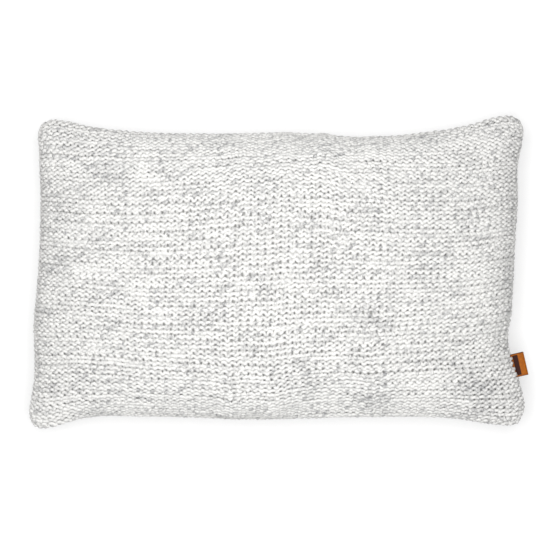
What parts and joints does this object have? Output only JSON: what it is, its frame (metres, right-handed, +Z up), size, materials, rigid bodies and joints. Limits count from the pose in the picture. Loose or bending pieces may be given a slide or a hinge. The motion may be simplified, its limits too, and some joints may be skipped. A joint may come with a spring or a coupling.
{
  "type": "throw_pillow",
  "caption": "Rectangular lumbar throw pillow: chunky knitted cover with eared corners, hidden zip in one long seam and a folded leather tag on a side seam.",
  "frame": {"origin": "the middle of the flat patch on the back panel that the cushion rests on", "axes": "+Z up through the front panel, X along the cushion's length with the leather tag on +X, Y across its width with the zip on -Y"},
  "size_m": [0.4993, 0.312, 0.114],
  "materials": {
    "knit_yarn": "matte",
    "casing_cotton": "matte",
    "polyester_fibre": "matte",
    "sewing_thread": "matte",
    "zip_tape": "matte",
    "zip_nylon": "satin",
    "zip_metal": "satin",
    "tag_leather": "satin",
    "label_satin": "satin"
  },
  "bodies": {
    "cushion": {"knit_front_panel": "knit_yarn", "knit_back_panel": "knit_yarn", "insert_casing_front": "casing_cotton", "insert_casing_back": "casing_cotton", "fibre_filling": "polyester_fibre", "cover_seam_thread": "sewing_thread", "casing_seam_thread": "sewing_thread", "casing_closing_thread": "sewing_thread", "zip_tape_front": "zip_tape", "zip_tape_back": "zip_tape", "zip_coil_front": "zip_nylon", "zip_coil_back": "zip_nylon", "zip_stitches_front": "sewing_thread", "zip_stitches_back": "sewing_thread", "zip_bottom_stop": "zip_metal", "zip_top_stop_front": "zip_metal", "zip_top_stop_back": "zip_metal", "leather_tag": "tag_leather", "care_label": "label_satin"},
    "slider": {"zip_slider": "zip_metal", "zip_slider_cap": "zip_metal"},
    "pull": {"zip_pull": "zip_metal"}
  },
  "joints": [
    {"name": "zip_slide", "type": "slide", "parent": "cushion", "child": "slider", "axis": [1, 0, 0], "range_m": [-0.312, 0]},
    {"name": "pull_hinge", "type": "hinge", "parent": "slider", "child": "pull", "pos_m": [0.1572, -0.14115, 0.054], "axis": [0, 0, 1], "range_deg": [0, 175]}
  ]
}
